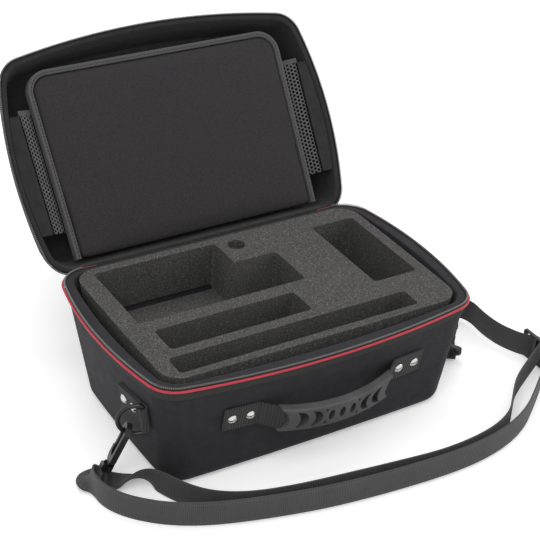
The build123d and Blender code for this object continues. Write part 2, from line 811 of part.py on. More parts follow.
for side, name, swing, flat in (
    (-1, "left", left_swing, left_hook),
    (1, "right", right_swing, right_hook),
):
    face = tab_plane(side)
    bar_place = tab_along(side, tab_bar)
    rear_place = tab_along(side, tab_rear)
    with BuildPart() as side_tab:
        with BuildSketch(Plane(face.origin, x_dir=face.x_dir, z_dir=-face.y_dir)):
            with Locations(((bar_place + rear_place) / 2, soft_gap + webbing_thickness)):
                Rectangle(abs(bar_place - rear_place), 2 * webbing_thickness)
            with Locations((bar_place, ring_lift)):
                Circle(loop_outer)
                Circle(ring_wire / 2 + ring_gap, mode=Mode.SUBTRACT)
        extrude(amount=webbing_width / 2, both=True)
        for spot in tab_spots(side):
            with BuildSketch(spot):
                Circle(bore)
            extrude(amount=wall, both=True, mode=Mode.SUBTRACT)
    finish(f"side_tab_{name}", side_tab)

    with BuildPart() as d_ring:
        with BuildLine(ring_plane(side, swing)) as ring_line:
            FilletPolyline(
                (ring_leg, -half_bar), (0, -half_bar), (0, half_bar), (ring_leg, half_bar), radius=ring_bend
            )
            ThreePointArc((ring_leg, half_bar), (ring_leg + half_bar, 0), (ring_leg, -half_bar))
        with BuildSketch(Plane(ring_line.wires()[0] @ 0, z_dir=ring_line.wires()[0] % 0)):
            Circle(ring_wire / 2)
        sweep(path=ring_line.wires()[0])
    finish(f"d_ring_{name}", d_ring)

    with BuildPart() as hook:
        with BuildSketch(flat):
            with Locations((0, (hook_length - hook_nose - hook_stock) / 2)):
                SlotOverall(hook_length + hook_nose + hook_stock, hook_width, rotation=90)
            with Locations((0, (gate_end - hook_nose) / 2)):
                SlotOverall(gate_end + hook_nose, hook_slot, rotation=90, mode=Mode.SUBTRACT)
            with Locations((gate_middle, (hook_tip + gate_end - gate_ear) / 2)):
                Rectangle(2 * hook_stock, gate_end - gate_ear - hook_tip, mode=Mode.SUBTRACT)
        extrude(amount=hook_thickness / 2, both=True)
        with BuildSketch(flat):
            with Locations((gate_middle, gate_end - gate_ear / 2)):
                Rectangle(hook_width / 2, gate_ear)
        extrude(amount=gate_thickness / 2 + gate_gap, both=True, mode=Mode.SUBTRACT)
        with BuildSketch(flat):
            with Locations((gate_middle, gate_hinge)):
                Circle(gate_pin / 2)
        extrude(amount=hook_thickness / 2, both=True)
        stem_foot = flat.from_local_coords(Vector(0, hook_length - hook_stock, 0))
        with BuildSketch(Plane(stem_foot, z_dir=flat.y_dir)):
            Circle(stem_diameter / 2)
        extrude(amount=head_top - hook_length + hook_stock)
        with BuildSketch(Plane(flat.from_local_coords(Vector(0, head_top, 0)), z_dir=flat.y_dir)):
            Circle(stem_head / 2)
        extrude(amount=stem_head_length)
    finish(f"snap_hook_{name}", hook)

    with BuildPart() as gate:
        with BuildSketch(flat):
            with Locations((gate_middle, (hook_tip + gate_gap + gate_hinge) / 2)):
                Rectangle(gate_width, gate_hinge - hook_tip - gate_gap)
            with Locations((gate_middle, gate_hinge)):
                Circle(gate_width / 2)
                Circle(gate_pin / 2 + rivet_clearance, mode=Mode.SUBTRACT)
        extrude(amount=gate_thickness / 2, both=True)
    finish(f"hook_gate_{name}", gate)

    with BuildPart() as eye:
        with BuildSketch(flat) as frame:
            wide = eye_half_width + eye_wire
            foot = eye_bar + eye_wire / 2
            with BuildLine():
                Polyline(
                    (-eye_neck, eye_top),
                    (eye_neck, eye_top),
                    (wide, eye_top + eye_shoulder),
                    (wide, foot),
                    (-wide, foot),
                    (-wide, eye_top + eye_shoulder),
                    close=True,
                )
            make_face()
            fillet(frame.vertices(), eye_corner)
            offset(amount=-eye_wire, mode=Mode.SUBTRACT)
        extrude(amount=eye_wire / 2, both=True)
        collar_plane = Plane(flat.from_local_coords(Vector(0, hook_length + collar_gap, 0)), z_dir=flat.y_dir)
        with BuildSketch(collar_plane):
            Circle(collar_diameter / 2)
        extrude(amount=collar_length)
        with BuildSketch(collar_plane):
            Circle(stem_diameter / 2 + collar_gap)
        extrude(amount=eye_top + eye_wire - hook_length, mode=Mode.SUBTRACT)
    finish(f"swivel_eye_{name}", eye)


# Shoulder strap: webbing that stands on edge, lies flat where it goes through an eye, and is doubled
# back through the adjuster
strap_bottom = glide_bottom + glide_rail + glide_gap
strap_middle = strap_bottom + webbing_width / 2
upright = Vector(0, 0, 1)


def strap_route(points, threading):
    """A line of straight runs in plan, with arcs as large as the runs allow, or tight in the adjuster."""
    spots = [Vector(*point) for point in points]
    radii = []
    for before, here, after in zip(spots, spots[1:], spots[2:]):
        turn = (here - before).get_angle(after - here)
        short = min((here - before).length, (after - here).length)
        radius = route_share * short / tan(radians(turn) / 2)
        if here in [Vector(*point) for point in threading]:
            radius = min(radius, threading_radius)
        radii.append(radius)
    return FilletPolyline(*points, radius=radii)


def strap_run(points, threading=()):
    """A run of the strap that stands on edge."""
    with BuildPart() as run:
        with BuildSketch(Plane.XY.offset(strap_bottom)):
            with BuildLine():
                strap_route(points, threading)
            trace(line_width=strap_thickness)
        extrude(amount=webbing_width)
    return run


def strap_twist(stations):
    """A stretch that twists through these places, each with its lean from upright and its heading."""
    with BuildPart() as twist:
        for place, lean, heading in stations:
            aside = heading.cross(upright).normalized()
            across = upright * cos(radians(lean)) + aside * sin(radians(lean))
            with BuildSketch(Plane(place, x_dir=across, z_dir=heading)):
                Rectangle(webbing_width, strap_thickness)
        loft(ruled=True)
    return twist


def toward(start, end):
    """The level direction from one plan point to another."""
    return Vector(end[0] - start[0], end[1] - start[1], 0).normalized()


# Right end: a sewn loop on the eye's bar, and a tail that rises to stand on edge
right_bar = right_hook.from_local_coords(Vector(0, eye_bar, 0))
right_way = Vector(right_hook.z_dir.X, right_hook.z_dir.Y, 0).normalized()
tail_start = right_bar - upright * loop_radius + right_way * tail_flat
tail_end = Vector(tail_start.X, tail_start.Y, strap_middle) + right_way * tail_length
tail_stations = [(tail_start, flat_lean, right_way)]
for share, lean in tail_twist:
    low = webbing_width / 2 * cos(radians(lean)) + strap_thickness
    place = Vector(tail_start.X, tail_start.Y, low) + right_way * tail_length * share
    tail_stations.append((place, lean, right_way))
tail_stations.append((tail_end, 0, right_way))
finish("strap_tail_right", strap_twist(tail_stations))
with BuildPart() as strap_loop_right:
    with BuildSketch(Plane(right_bar, x_dir=right_way, z_dir=right_way.cross(upright))):
        with BuildLine():
            Line((tail_flat, -loop_radius), (0, -loop_radius))
            CenterArc((0, 0), loop_radius, -90, -sewn_turn)
        trace(line_width=strap_thickness)
    extrude(amount=webbing_width / 2, both=True)
finish("strap_loop_right", strap_loop_right)

# Upper run: round the right side and through the adjuster
side_slot = glide_thickness / 2 + strap_thickness + 2 * glide_gap
threading = [
    (glide_x - side_slot, glide_y + glide_pitch / 2 + strap_thickness),
    (glide_x + side_slot + strap_thickness / 2, glide_y + glide_bar),
    (glide_x + side_slot + strap_thickness / 2, glide_y - glide_bar),
    (glide_x - side_slot, glide_y - glide_pitch / 2 - strap_thickness),
]
upper_end = (248.0, -91.0)
upper_points = [
    (tail_end.X, tail_end.Y),
    (tail_end.X + right_way.X * first_run, tail_end.Y + right_way.Y * first_run),
    (226.0, 24.0),
    (241.0, 25.0),
    (250.0, 10.0),
    (247.0, -15.0),
    (249.0, -38.0),
    (255.5, -55.0),
    *threading,
    upper_end,
]
finish("strap_upper_run", strap_run(upper_points, threading))

# Inner run: along the front of the case to the left hook
leave = toward(threading[-1], upper_end)
inner_end = (-158.0, -84.0)
inner_points = [
    upper_end,
    (upper_end[0] + leave.X * first_run, upper_end[1] + leave.Y * first_run),
    (221.0, -107.0),
    (206.0, -117.0),
    (191.0, -131.0),
    (178.0, -146.0),
    (163.0, -158.0),
    (140.0, -167.5),
    (110.0, -172.5),
    (76.0, -173.5),
    (40.0, -169.5),
    (-10.0, -163.0),
    (-60.0, -156.0),
    (-100.0, -146.5),
    (-128.0, -132.0),
    (-145.0, -112.0),
    inner_end,
]
finish("strap_inner_run", strap_run(inner_points))

# Left end: through the eye and round to the outer run
eye_pass = eye_bar - eye_wire / 2 - eye_seat - strap_thickness / 2
left_pass = left_hook.from_local_coords(Vector(0, eye_pass, 0))
left_through = left_hook.z_dir
outer_start = (-207.5, -62.0)
loop_stations = [
    (Vector(*inner_end, strap_middle), 0, toward(inner_points[-2], inner_end)),
    (Vector(-163.0, -74.5, 13.6), -25, toward((-158, -84), (-169, -66))),
    (Vector(-170.5, -65.0, 8.8), -58, toward((-163, -74), (-181, -57))),
    (left_pass - left_through * eye_before, -flat_lean, left_through),
    (left_pass + left_through * eye_after, -flat_lean, left_through),
    (left_pass + left_through * eye_beyond + Vector(-1, -1, 0), -62, toward((0, 0), (-1, -0.2))),
    (Vector(-207.5, -53.0, 14.4), -22, toward((0, 0), (-0.25, -1))),
    (Vector(*outer_start, strap_middle), 0, Vector(0, -1, 0)),
]
finish("strap_loop_left", strap_twist(loop_stations))

# Outer run: back along the front to a sewn loop on the adjuster's near bar
near_bar = (glide_x, glide_y - glide_pitch)
meet = glide_loop * sin(radians(sewn_join))
outer_points = [
    outer_start,
    (outer_start[0], outer_start[1] - first_run),
    (-202.0, -92.0),
    (-190.0, -108.5),
    (-168.0, -127.5),
    (-138.0, -143.0),
    (-98.0, -155.5),
    (-46.0, -168.0),
    (0.0, -174.5),
    (40.0, -178.0),
    (75.0, -180.0),
    (110.0, -179.5),
    (140.0, -175.0),
    (165.0, -167.5),
    (188.0, -156.0),
    (206.0, -142.5),
    (224.0, -128.5),
    (241.0, -114.5),
    (near_bar[0] + meet - last_run, near_bar[1] - meet - last_run),
    (near_bar[0] + meet, near_bar[1] - meet),
]
outer_run = strap_run(outer_points)
with BuildPart() as strap_outer_run:
    add(outer_run.part)
    with BuildSketch(Plane.XY.offset(strap_bottom)):
        with Locations(near_bar):
            Circle(glide_loop + strap_thickness / 2)
            Circle(glide_loop - strap_thickness / 2, mode=Mode.SUBTRACT)
    extrude(amount=webbing_width)
finish("strap_outer_run", strap_outer_run)

with BuildPart() as adjuster:
    slot_height = webbing_width + 2 * glide_gap
    with BuildSketch(Plane.YZ.offset(glide_x)):
        with Locations((glide_y, strap_middle)):
            RectangleRounded(2 * glide_pitch + glide_bar, slot_height + 2 * glide_rail, glide_bar / 2)
            with Locations((-glide_pitch / 2, 0), (glide_pitch / 2, 0)):
                Rectangle(glide_pitch - glide_bar, slot_height, mode=Mode.SUBTRACT)
    extrude(amount=glide_thickness / 2, both=True)
finish("strap_adjuster", adjuster)

# Zip sliders, parked at the ends of the lid's zip, each with a pull that hangs from a pin
teeth_middle = rim_back + soft_gap + tape_thickness / 2 - hinge_y
outer_face = teeth_middle + teeth_width / 2 + slider_gap
inner_face = teeth_middle - teeth_width / 2 - slider_gap
post_end = zip_end - slider_gap
pivot_out = outer_face + slider_plate + pull_knuckle / 2 + slider_gap
pivot_height = (lid_teeth_bottom + lid_rim) / 2
knuckle_length = pull_width / 2

for side, name in ((-1, "left"), (1, "right")):
    slider_middle = side * (post_end - slider_post + slider_length / 2)
    with BuildPart() as slider:
        with BuildSketch(lid_plane.offset(lid_teeth_bottom - slider_reach)):
            with Locations((slider_middle, outer_face + slider_plate / 2)):
                RectangleRounded(slider_length, slider_plate, slider_plate / 3)
        extrude(amount=lid_rim + slider_gap - lid_teeth_bottom + slider_reach)
        with BuildSketch(lid_plane.offset(lid_teeth_bottom + zip_gap / 2)):
            with Locations((slider_middle, inner_face - slider_plate / 2)):
                Rectangle(slider_length, slider_plate)
            with Locations((side * (post_end - slider_post / 2), teeth_middle)):
                Rectangle(slider_post, outer_face - inner_face + slider_plate)
        extrude(amount=teeth_height - zip_gap / 2)
        with BuildSketch(lid_plane.offset(pivot_height - pull_knuckle / 2)):
            ear = knuckle_length / 2 + slider_gap + slider_plate / 2
            with Locations(
                (slider_middle - ear, (outer_face + pivot_out + pull_pin) / 2),
                (slider_middle + ear, (outer_face + pivot_out + pull_pin) / 2),
            ):
                Rectangle(slider_plate, pivot_out + pull_pin - outer_face)
        extrude(amount=pull_knuckle)
        pivot = lid_plane.from_local_coords(Vector(slider_middle, pivot_out, pivot_height))
        with BuildSketch(Plane(pivot, z_dir=(1, 0, 0))):
            Circle(pull_pin / 2)
        extrude(amount=ear, both=True)
    finish(f"zip_slider_{name}", slider)

    with BuildPart() as pull:
        with BuildSketch(Plane(pivot, z_dir=(1, 0, 0))):
            Circle(pull_knuckle / 2)
        extrude(amount=knuckle_length / 2, both=True)
        with BuildSketch(Plane(pivot, x_dir=(1, 0, 0), z_dir=(0, 1, 0))) as tag:
            with Locations((0, pull_knuckle / 2 + pull_length / 2 - pull_gap)):
                Rectangle(knuckle_length, pull_length)
            with Locations((0, pull_knuckle + slider_gap + pull_width / 2 + pull_length / 2)):
                RectangleRounded(pull_width, pull_length - pull_width, pull_width / 2 - pull_gap)
        extrude(amount=pull_thickness / 2, both=True)
        with BuildSketch(Plane(pivot, z_dir=(1, 0, 0))):
            Circle(pull_pin / 2 + pull_gap)
        extrude(amount=knuckle_length / 2, both=True, mode=Mode.SUBTRACT)
    finish(f"zip_pull_{name}", pull)
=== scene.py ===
import json
from math import cos, radians, sin, tau

import bmesh
import bpy
from mathutils import Matrix, Vector


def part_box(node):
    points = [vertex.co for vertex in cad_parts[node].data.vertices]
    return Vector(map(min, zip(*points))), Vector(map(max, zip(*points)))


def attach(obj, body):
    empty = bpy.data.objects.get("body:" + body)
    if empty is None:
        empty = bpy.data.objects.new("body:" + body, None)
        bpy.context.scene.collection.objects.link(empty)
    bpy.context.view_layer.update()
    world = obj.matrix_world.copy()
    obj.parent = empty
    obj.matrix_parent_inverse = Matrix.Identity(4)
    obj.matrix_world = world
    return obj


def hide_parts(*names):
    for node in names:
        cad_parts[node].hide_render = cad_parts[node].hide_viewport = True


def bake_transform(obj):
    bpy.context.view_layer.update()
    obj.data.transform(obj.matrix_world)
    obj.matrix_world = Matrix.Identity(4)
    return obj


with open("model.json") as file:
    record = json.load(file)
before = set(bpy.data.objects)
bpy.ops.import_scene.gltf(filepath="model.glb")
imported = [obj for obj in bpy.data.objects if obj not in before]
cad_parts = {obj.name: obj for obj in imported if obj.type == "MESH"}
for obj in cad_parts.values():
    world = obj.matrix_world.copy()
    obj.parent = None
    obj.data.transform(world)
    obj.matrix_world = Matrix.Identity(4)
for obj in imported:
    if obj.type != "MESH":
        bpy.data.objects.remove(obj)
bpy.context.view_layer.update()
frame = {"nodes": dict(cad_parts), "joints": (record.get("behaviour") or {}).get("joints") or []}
nodes = frame["nodes"]
joints = {joint["name"]: joint for joint in frame["joints"]}
MM = 0.001

# The open lid: a point of the shut lid, measured from the hinge line, is turned back by the hinge's range
hinge = joints["lid_hinge"]
lid_turn = radians(hinge["range_deg"][1])
lid_place = Matrix.Translation(hinge["pos_m"]) @ Matrix.Rotation(-lid_turn, 4, "X")
lid_out = lid_place.to_3x3() @ Vector((0, 0, -1))


class Term:
    """A shader value: a socket with Python's operators, each of which adds a Math node."""

    def __init__(self, finish, socket):
        self.finish = finish
        self.socket = socket

    def other(self, name):
        """Another output of the same node."""
        return Term(self.finish, self.socket.node.outputs[name])

    def maths(self, operation, *values):
        """A Math node with this value first."""
        inputs = dict(enumerate((self,) + values))
        return self.finish.node("ShaderNodeMath", {"operation": operation}, inputs)

    def reflected(self, operation, value):
        """A Math node with this value second."""
        return self.finish.node("ShaderNodeMath", {"operation": operation}, {0: value, 1: self})

    def __add__(self, value):
        return self.maths("ADD", value)

    def __sub__(self, value):
        return self.maths("SUBTRACT", value)

    def __mul__(self, value):
        return self.maths("MULTIPLY", value)

    def __truediv__(self, value):
        return self.maths("DIVIDE", value)

    def __gt__(self, value):
        return self.maths("GREATER_THAN", value)

    def __lt__(self, value):
        return self.maths("LESS_THAN", value)

    def __abs__(self):
        return self.maths("ABSOLUTE")

    def __rsub__(self, value):
        return self.reflected("SUBTRACT", value)

    def __rtruediv__(self, value):
        return self.reflected("DIVIDE", value)

    __radd__ = __add__
    __rmul__ = __mul__


class Finish:
    """A material being made, with the Principled shader's constant sockets set first."""

    def __init__(self, name, **constants):
        self.material = bpy.data.materials.new(name)
        self.material.use_nodes = True
        self.tree = self.material.node_tree
        self.shader = self.tree.nodes["Principled BSDF"]
        for socket, value in constants.items():
            self.shader.inputs[socket.replace("_", " ")].default_value = value

    def node(self, kind, settings=None, inputs=None, output=0):
        """Any node: its settings, then its sockets' values or links. Gives one output."""
        made = self.tree.nodes.new(kind)
        for name, value in (settings or {}).items():
            setattr(made, name, value)
        for name, value in (inputs or {}).items():
            self.feed(made.inputs[name], value)
        return Term(self, made.outputs[output])

    def feed(self, socket, value):
        """Links a term to a socket, or sets a plain value on it."""
        if isinstance(value, Term):
            self.tree.links.new(value.socket, socket)
        else:
            socket.default_value = value

    def set(self, **inputs):
        """Feeds the shader's own sockets."""
        for name, value in inputs.items():
            self.feed(self.shader.inputs[name.replace("_", " ")], value)

    def place(self, turn=0.0):
        """Object coordinates and the surface's normal, both turned about X."""
        spot = self.node("ShaderNodeTexCoord", output="Object")
        facing = spot.other("Normal")
        if turn:
            swing = {"rotation_type": "X_AXIS"}
            spot = self.node("ShaderNodeVectorRotate", swing, {"Vector": spot, "Angle": turn})
            facing = self.node("ShaderNodeVectorRotate", swing, {"Vector": facing, "Angle": turn})
        return spot, facing

    def split(self, vector):
        """A vector's three parts."""
        across = self.node("ShaderNodeSeparateXYZ", inputs={0: vector})
        return across, across.other("Y"), across.other("Z")

    def on_surface(self, turn=0.0):
        """Two coordinates in metres along whichever side of a box the surface faces most."""
        spot, facing = self.place(turn)
        x, y, z = self.split(spot)
        across, deep, up = (abs(part) for part in self.split(facing))
        sideways = across > deep.maths("MAXIMUM", up)
        level = up > across.maths("MAXIMUM", deep)
        return x + sideways * (y - x), z + level * (y - z)

    def noise(self, scale, detail=2.0, roughness=0.5, vector=None):
        """Noise on Object coordinates, or on another vector."""
        vector = vector or self.node("ShaderNodeTexCoord", output="Object")
        sizes = {"Vector": vector, "Scale": scale, "Detail": detail, "Roughness": roughness}
        return self.node("ShaderNodeTexNoise", inputs=sizes)

    def ramp(self, value, low, high):
        """A value spread over 0 to 1 between two levels."""
        levels = {"Value": value, "From Min": low, "From Max": high}
        return self.node("ShaderNodeMapRange", {"clamp": True}, levels)

    def mix(self, share, first, second):
        """A colour between two others."""
        colours = {"Factor": share, 6: first, 7: second}
        return self.node("ShaderNodeMix", {"data_type": "RGBA"}, colours, output=2)

    def bump(self, height, distance, strength=1.0):
        """A height in shares of a distance, as a normal."""
        sizes = {"Height": height, "Distance": distance, "Strength": strength}
        return self.node("ShaderNodeBump", inputs=sizes)


# Along the strap's girth: its top edge, one side's width, and a stitch row's distance from the middle
strap_top_edge, strap_side, strap_seam = 0.02494, 0.0259, 0.0098


def grey(level, warm=0.0):
    """A grey with a little more red than blue where warm is above nought."""
    return (level * (1 + warm), level, level * (1 - warm), 1.0)


def wave(value, pitch):
    """A value's sine, from 0 to 1, with a pitch in metres."""
    return (value * (tau / pitch)).maths("SINE") * 0.5 + 0.5


def woven(name, dark, light, pitch, depth, turn=0.0, sheen=0.06, mottle=90.0):
    """Cloth of a plain weave on whichever side the surface faces, a little mottled."""
    f = Finish(name, Roughness=0.85, Sheen_Weight=sheen, Sheen_Roughness=0.45, Specular_IOR_Level=0.3)
    u, v = f.on_surface(turn)
    thread = wave(u, pitch) * wave(v, pitch) + (1 - wave(u, pitch)) * (1 - wave(v, pitch))
    cloud = f.ramp(f.noise(mottle, 4.0, 0.65), 0.3, 0.7)
    fuzz = f.ramp(f.noise(1400.0, 1.0), 0.35, 0.75)
    share = thread * 0.35 + cloud * 0.3 + fuzz * 0.35
    f.set(Base_Color=f.mix(share, dark, light), Roughness=0.9 - cloud * 0.12)
    f.set(Normal=f.bump(thread * 0.7 + fuzz * 0.3, depth, 0.7))
    return f.material


def foam_finish():
    """Open-cell foam: pale specks and dark pores in a warm dark grey."""
    f = Finish("foam", Roughness=0.95, Specular_IOR_Level=0.15)
    grain = f.noise(1250.0, 2.0, 0.6)
    speck = f.ramp(f.noise(820.0, 1.0, 0.5), 0.58, 0.72)
    pore = f.ramp(f.node("ShaderNodeTexVoronoi", inputs={"Scale": 700.0}, output="Distance"), 0.05, 0.5)
    base = f.mix(f.ramp(grain, 0.32, 0.68), grey(0.03, 0.03), grey(0.115, 0.02))
    f.set(Base_Color=f.mix(speck * 0.75, base, grey(0.24, 0.03)))
    f.set(Normal=f.bump(grain * 0.5 + pore * 0.5, 0.0006, 0.8))
    return f.material


def rubber_finish():
    """Matt moulded rubber with a fine grain and a little dust in its low places."""
    f = Finish("rubber", Specular_IOR_Level=0.45)
    grain = f.noise(1600.0, 2.0, 0.6)
    cloud = f.ramp(f.noise(45.0, 3.0, 0.6), 0.3, 0.75)
    f.set(Base_Color=f.mix(cloud, grey(0.05), grey(0.075)), Roughness=0.48 + grain * 0.18)
    f.set(Normal=f.bump(grain, 0.0003, 0.5))
    return f.material


def metal_finish(name, colour, rough, scratch, metallic=1.0):
    """Plated or painted metal with fine scratches."""
    f = Finish(name, Metallic=metallic)
    spot = f.node("ShaderNodeTexCoord", output="Object")
    turned = f.node("ShaderNodeMapping", inputs={"Vector": spot, "Scale": (1.0, 1.0, 9.0)})
    lines = f.ramp(f.noise(900.0, 2.0, 0.7, turned), 0.5, 0.8)
    cloud = f.noise(160.0, 3.0)
    worn = tuple(channel * 0.82 for channel in colour[:3]) + (1.0,)
    f.set(Base_Color=f.mix(cloud, colour, worn), Roughness=rough + lines * scratch + cloud * 0.06)
    f.set(Normal=f.bump(lines, 0.00006, 0.4))
    return f.material


def plastic_finish():
    """Moulded black plastic with a spark-eroded grain."""
    f = Finish("black_plastic", Specular_IOR_Level=0.5)
    grain = f.noise(2200.0, 2.0, 0.6)
    f.set(Base_Color=f.mix(f.noise(60.0), grey(0.018), grey(0.032)), Roughness=0.38 + grain * 0.2)
    f.set(Normal=f.bump(grain, 0.0002, 0.5))
    return f.material


def webbing_finish(name, dark, light, run, pitch, depth):
    """Ribbed webbing from a coordinate across its ribs and one along them, with a mask of any sewn lines."""
    f = Finish(name, Roughness=0.8, Sheen_Weight=0.15, Sheen_Roughness=0.4, Specular_IOR_Level=0.35)
    u, v, seam = run(f)
    rib = wave(u, pitch)
    weft = wave(v + rib * 0.0004, 0.0011)
    fuzz = f.ramp(f.noise(1500.0, 1.0), 0.3, 0.75)
    cloud = f.ramp(f.noise(70.0, 3.0), 0.3, 0.7)
    share = rib * 0.4 + weft * 0.15 + fuzz * 0.3 + cloud * 0.15
    colour = f.mix(share, dark, light)
    if seam:
        colour = f.mix(seam, colour, grey(0.16))
    f.set(Base_Color=colour, Roughness=0.72 + fuzz * 0.15)
    f.set(Normal=f.bump(rib * 0.75 + weft * 0.25, depth, 0.8))
    return f.material


def strap_run(f):
    """The strap's own map, in metres along and across it, and a row of stitches near each edge."""
    u, v, _ = f.split(f.node("ShaderNodeTexCoord", output="UV"))
    off_middle = abs(abs(v - strap_top_edge) - strap_side / 2)
    seam = (abs(off_middle - strap_seam) < 0.00035) * (wave(u, 0.003) > 0.45)
    return u, v, seam * 0.35


def upright_ribs(f):
    """Length and height on a wall, so that the ribs stand upright, with no sewn lines."""
    u, v = f.on_surface()
    return u, v, None


def piping_finish():
    """Red cord in a woven cover, with a slant twist."""
    f = Finish("piping", Roughness=0.6, Sheen_Weight=0.2, Specular_IOR_Level=0.4)
    u, v = f.on_surface()
    twist = wave(u + v * 0.8, 0.0016)
    fuzz = f.ramp(f.noise(1500.0), 0.3, 0.7)
    f.set(Base_Color=f.mix(twist * 0.5 + fuzz * 0.5, (0.38, 0.012, 0.03, 1), (0.62, 0.03, 0.06, 1)))
    f.set(Normal=f.bump(twist, 0.0003, 0.6))
    return f.material


def coil_painted_highlight_finish():
    """Black nylon coil, shiny where it rounds over, its colour lifted to a grey well above black as a painted
    highlight.
    """
    f = Finish("zip_teeth", Specular_IOR_Level=0.6)
    cloud = f.noise(700.0)
    # Painted highlight: the grey 0.1 to 0.2 stands in for the coil's highlights, as real black nylon is darker.
    # The shine itself comes from the low roughness.
    f.set(Base_Color=f.mix(cloud, grey(0.1), grey(0.2)), Roughness=0.22 + cloud * 0.15)
    return f.material


shell_cloth = woven("shell_cloth", (0.0075, 0.0073, 0.009, 1), (0.026, 0.0255, 0.031, 1), 0.0011, 0.00035)
lid_cloth = woven(
    "lid_cloth", (0.0085, 0.008, 0.008, 1), (0.028, 0.0265, 0.0265, 1), 0.0011, 0.00035, lid_turn
)
lining_cloth = woven(
    "lining_cloth", (0.009, 0.0082, 0.0088, 1), (0.041, 0.037, 0.04, 1), 0.0014, 0.0006, lid_turn, mottle=620.0
)
tape_cloth = woven("tape_cloth", grey(0.016, 0.05), grey(0.042, 0.06), 0.0011, 0.0005, mottle=500.0)
lid_tape_cloth = woven("lid_tape_cloth", grey(0.012, 0.06), grey(0.034, 0.07), 0.0008, 0.0003, lid_turn)
binding_cloth = woven("binding_cloth", grey(0.055), grey(0.1), 0.0009, 0.0003, lid_turn, 0.06, 500.0)
net_cloth = woven("net_cloth", grey(0.06), grey(0.15), 0.0006, 0.0002, lid_turn)
strip_cloth = woven("strip_cloth", grey(0.01), grey(0.028), 0.0009, 0.0003)
thread_cloth = woven("thread_cloth", grey(0.012), grey(0.035), 0.0005, 0.0001)
foam = foam_finish()
rubber = rubber_finish()
nickel = metal_finish("nickel", (0.78, 0.76, 0.73, 1), 0.12, 0.12)
black_metal = metal_finish("black_metal", (0.03, 0.03, 0.032, 1), 0.3, 0.15, 0.6)
black_plastic = plastic_finish()
strap_webbing = webbing_finish("strap_webbing", grey(0.026), grey(0.078), strap_run, 0.0016, 0.0004)
pad_webbing = webbing_finish("pad_webbing", grey(0.008), grey(0.042), upright_ribs, 0.0023, 0.0012)
piping = piping_finish()
coil = coil_painted_highlight_finish()


def piece_of(name, mesh, finish, body, smooth=True):
    """A new piece from a finished mesh, riding on a body, with a finish."""
    made = bpy.data.objects.new(name, mesh)
    bpy.context.scene.collection.objects.link(made)
    mesh.materials.clear()
    mesh.materials.append(finish)
    if smooth:
        mesh.shade_smooth()
    if body:
        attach(made, body)
    return made


def merged_copy(node, name):
    """A copy of a CAD node's mesh with its loose triangles joined."""
    mesh = nodes[node].data.copy()
    mesh.name = name
    work = bmesh.new()
    work.from_mesh(mesh)
    bmesh.ops.remove_doubles(work, verts=work.verts, dist=1e-6)
    bmesh.ops.dissolve_limit(work, angle_limit=radians(0.5), verts=work.verts, edges=work.edges)
    work.to_mesh(mesh)
    work.free()
    return mesh


def softened(name, node, finish, body, width):
    """Stands for a CAD node with its sharp edges rounded over, as cut cloth and foam are."""
    made = piece_of(name, merged_copy(node, name), finish, body, smooth=False)
    round_over = made.modifiers.new("round_over", "BEVEL")
    round_over.width = width
    round_over.segments = 2
    round_over.limit_method = "ANGLE"
    round_over.angle_limit = radians(38)
    made.data.shade_smooth()
    made.data.set_sharp_from_angle(angle=radians(38))
    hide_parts(node)
    return made


def swept(name, path, acrosses, section, closed=False):
    """A mesh of a section, as (across, off the face) pairs, carried along a path. Its map is in metres."""
    work = bmesh.new()
    chart = work.loops.layers.uv.new("UVMap")
    count = len(path)
    rings = []
    reach = [0.0]
    for here, after in zip(path, path[1:]):
        reach.append(reach[-1] + (after - here).length)
    for i, (spot, across) in enumerate(zip(path, acrosses)):
        before = path[i - 1] if i or closed else spot
        after = path[(i + 1) % count] if i + 1 < count or closed else spot
        ahead = (after - before).normalized()
        across = (across - ahead * across.dot(ahead)).normalized()
        off = ahead.cross(across)
        rings.append([work.verts.new(spot + across * a + off * b) for a, b in section])
    girth = [0.0]
    for (a, b), (c, d) in zip(section, section[1:] + section[:1]):
        girth.append(girth[-1] + ((a - c) ** 2 + (b - d) ** 2) ** 0.5)
    spans = count if closed else count - 1
    sides = len(section)
    for i in range(spans):
        start, end = rings[i], rings[(i + 1) % count]
        far = reach[i + 1] if i + 1 < count else reach[i] + (path[0] - path[i]).length
        for k in range(sides):
            face = work.faces.new((start[k], end[k], end[(k + 1) % sides], start[(k + 1) % sides]))
            places = ((reach[i], girth[k]), (far, girth[k]), (far, girth[k + 1]), (reach[i], girth[k + 1]))
            for loop, place in zip(face.loops, places):
                loop[chart].uv = place
    if not closed:
        work.faces.new(rings[0])
        work.faces.new(reversed(rings[-1]))
    bmesh.ops.recalc_face_normals(work, faces=work.faces)
    mesh = bpy.data.meshes.new(name)
    work.to_mesh(mesh)
    work.free()
    return mesh


def smooth_line(name, points, steps):
    """The points of a NURBS spline through given control points, read from Blender's own evaluation."""
    curve = bpy.data.curves.new(name, "CURVE")
    curve.dimensions = "3D"
    curve.resolution_u = steps
    spline = curve.splines.new("NURBS")
    spline.points.add(len(points) - 1)
    for point, spot in zip(spline.points, points):
        point.co = (*spot, 1.0)
    spline.order_u = 3
    spline.use_endpoint_u = True
    route = bpy.data.objects.new(name, curve)
    bpy.context.scene.collection.objects.link(route)
    line = bpy.data.meshes.new_from_object(route.evaluated_get(bpy.context.evaluated_depsgraph_get()))
    found = [vertex.co.copy() for vertex in line.vertices]
    bpy.data.objects.remove(route)
    bpy.data.curves.remove(curve)
    bpy.data.meshes.remove(line)
    return found


